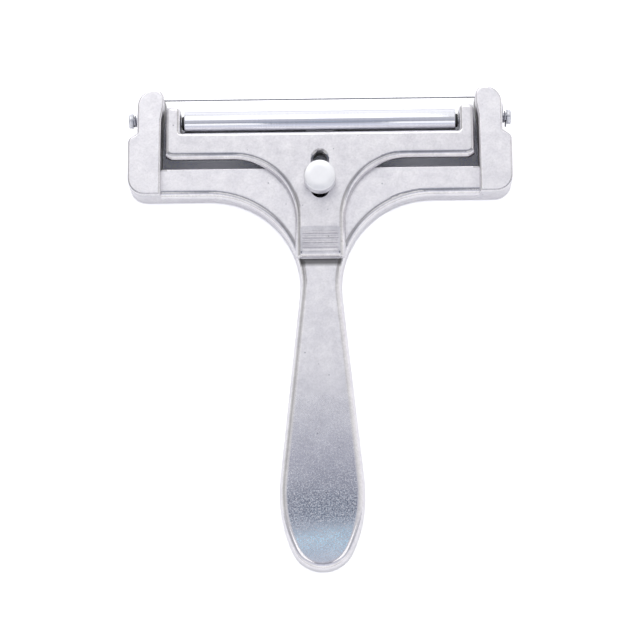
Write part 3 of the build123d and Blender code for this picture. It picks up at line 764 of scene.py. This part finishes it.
def hang_white_cards():
    """Two cards beside the handle's end. They draw the white crescents there."""
    finish, tree = new_finish("white_card")
    white = add(tree, "ShaderNodeEmission", {
        "Color": (WHITE_CARD_LEVEL, WHITE_CARD_LEVEL, WHITE_CARD_LEVEL, 1), "Strength": 1.0})
    close_finish(tree, white.outputs[0])
    for name, x in (("left_card", -WHITE_CARD_X), ("right_card", WHITE_CARD_X)):
        hang(name, (x, WHITE_CARD_Y, CARD_HEIGHT), WHITE_CARD_SIZE, finish)


def light_studio():
    """A white tent, dimmer straight overhead and brightest behind the wire, and one soft lamp there."""
    world = bpy.data.worlds.new("light_tent")
    bpy.context.scene.world = world
    world.use_nodes = True
    tree = world.node_tree
    tree.nodes.clear()
    toward = add(tree, "ShaderNodeSeparateXYZ", {
        "Vector": add(tree, "ShaderNodeTexCoord").outputs["Generated"]})
    lean = add(tree, "ShaderNodeMath", {0: toward.outputs["Y"], 1: toward.outputs["Z"]}, operation="ARCTAN2")
    share = add(tree, "ShaderNodeMapRange", {
        "Value": lean.outputs[0], "From Min": -math.pi / 2, "From Max": math.pi / 2})
    ridge = set_stops(add(tree, "ShaderNodeValToRGB", {"Fac": share.outputs["Result"]}), [
        (angle / 180 + 0.5, [level * part for part in tint] + [1.0]) for angle, level, tint in TENT_RIDGE])
    aside = add(tree, "ShaderNodeMapRange", {
        "Value": toward.outputs["X"], "From Min": -1.0, "From Max": 1.0})
    walls = set_stops(add(tree, "ShaderNodeValToRGB", {"Fac": aside.outputs["Result"]}), [
        (x / 2 + 0.5, level) for x, level in TENT_WALLS])
    wall_share = set_stops(add(tree, "ShaderNodeValToRGB", {"Fac": aside.outputs["Result"]}), [
        (x / 2 + 0.5, level) for x, level in WALL_SHARE])
    # slanting rims, which face the handle, still show the dim ridge
    off_ridge = add(tree, "ShaderNodeMapRange", {
        "Value": lean.outputs[0], "From Min": math.radians(-15), "From Max": math.radians(8),
        "To Min": 0.3, "To Max": 1.0})
    wall_there = add(tree, "ShaderNodeMath", {0: wall_share, 1: off_ridge.outputs["Result"]},
                     operation="MULTIPLY")
    tent = add(tree, "ShaderNodeMix", {0: wall_there.outputs[0], 6: ridge, 7: walls}, data_type="RGBA")
    ray = add(tree, "ShaderNodeLightPath")
    lit = add(tree, "ShaderNodeBackground", {"Color": tent.outputs[2], "Strength": 1.0})
    white = add(tree, "ShaderNodeBackground", {"Color": (1, 1, 1, 1), "Strength": 1.0})
    mixed = add(tree, "ShaderNodeMixShader", {
        0: ray.outputs["Is Camera Ray"], 1: lit.outputs[0], 2: white.outputs[0]})
    add(tree, "ShaderNodeOutputWorld", {"Surface": mixed.outputs[0]})

    lamp_data = bpy.data.lights.new("soft_lamp", "AREA")
    lamp_data.shape = "SQUARE"
    lamp_data.size = LAMP_SIZE
    lamp_data.energy = LAMP_WATTS
    lamp = bpy.data.objects.new("soft_lamp", lamp_data)
    bpy.context.scene.collection.objects.link(lamp)
    lamp.location = LAMP_PLACE
    lamp.rotation_euler = (-lamp.location).to_track_quat("-Z", "Y").to_euler()


place_camera()
lay_floor()
hang_grey_card()
hang_white_cards()
light_studio()
bpy.context.scene.view_settings.view_transform = "Standard"

# Painted shade: each row is a box's middle and half size and the fade round it, in millimetres, and the share
# of light that it leaves, painted where shade falls: in the slot, the gaps, at the feet of the carriage's
# walls, under the carriage and under its nose. A box off the middle is there on both sides.
# painted shade deep in the slot and the groove under it
slot_painted_shade = ((0, 52.1, 4.2), (2.7, 8.3, 4.0), (0.1, 0.1, 1.2), 0.12)
# painted shade on the walls just inside the slot's rim
slot_rim_painted_shade = ((0, 56.6, 11.45), (3.4, 4.6, 0.3), (0.1, 0.5, 0.3), 0.6)
# painted shade in the narrow gaps between the carriage's ears and the posts
gap_painted_shade = ((53.4, 72.0, 3.9), (1.1, 17.0, 5.0), (0.1, 1.0, 0.6), 0.3)
# painted shade on the arms' walls beneath the carriage's edge
arm_painted_shade = ((30.0, 54.9, 3.8), (27.0, 0.8, 3.9), (1.0, 0.1, 0.3), 0.25)
# painted shadow that the carriage's nose casts on the handle just below it
nose_painted_shadow = ((0, 25.0, 8.5), (7.4, 3.6, 0.4), (0.3, 1.3, 0.4), 0.24)
# painted shade at the feet of the carriage's walls, where it sits on the frame
edge_painted_shade = ((27.0, 41.0, 8.4), (27.0, 20.0, 0.3), (1.0, 1.0, 0.8), 0.6)
handle_casting = tumbled_casting("die_cast_aluminium_frame", "F5F3F6", "E6E4E9", [
    slot_painted_shade, gap_painted_shade, arm_painted_shade, nose_painted_shadow])
carriage_casting = tumbled_casting("die_cast_aluminium_carriage", "F0EEF1", "DDDBE0", [
    slot_painted_shade, slot_rim_painted_shade, gap_painted_shade, edge_painted_shade])
roller_steel = polished_steel("polished_steel_tube", "E6E7EE", 0.1)
axle_steel = polished_steel("ground_steel_pin", "B9BAC2", 0.22)
wire_steel = polished_steel("drawn_steel_wire", "8F9098", 0.25)
bush_acetal = moulded_acetal("moulded_acetal_bearing", "26282B")
screw_steel = plated_steel("zinc_plated_screw_steel", "DEDFE5", 0.28, 1.6)
washer_steel = plated_steel("zinc_plated_washer_steel", "D2D4DA", 0.28, 2.2)
stud_steel = plated_steel("zinc_plated_stud_steel", "A9ABB3", 0.3, 1.8)
knob_aluminium = plated_steel("turned_aluminium_knob", "F8F8FB", 0.45, 3.0)

dress_casting("frame_handle", handle_casting)
dress_casting("roller_carriage", carriage_casting)
dress_casting("cutting_wire", wire_steel)

made = [
    (make_roller(), "roller", "roller_tube", "roller_steel", roller_steel),
    (make_axle(), "carriage", "roller_axle", "axle_steel", axle_steel),
    (make_knob(), "knob", "lock_knob", "knob_metal", knob_aluminium),
    (make_stud(), "knob", "lock_stud", "plated_steel", stud_steel),
    (make_knob_washer(), "clamp_washer", "knob_washer", "plated_steel", washer_steel),
]
for side in ("left", "right"):
    made += [
        (make_bush(side), "roller", "roller_bush_" + side, "bush_plastic", bush_acetal),
        (make_wire_screw(side), "frame", "wire_screw_" + side, "plated_steel", screw_steel),
        (make_wire_washer(side), "frame", "wire_washer_" + side, "plated_steel", washer_steel),
    ]
for piece, body, node, slot, finish in made:
    dress(piece, finish)
    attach(piece, body)
    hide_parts(node)
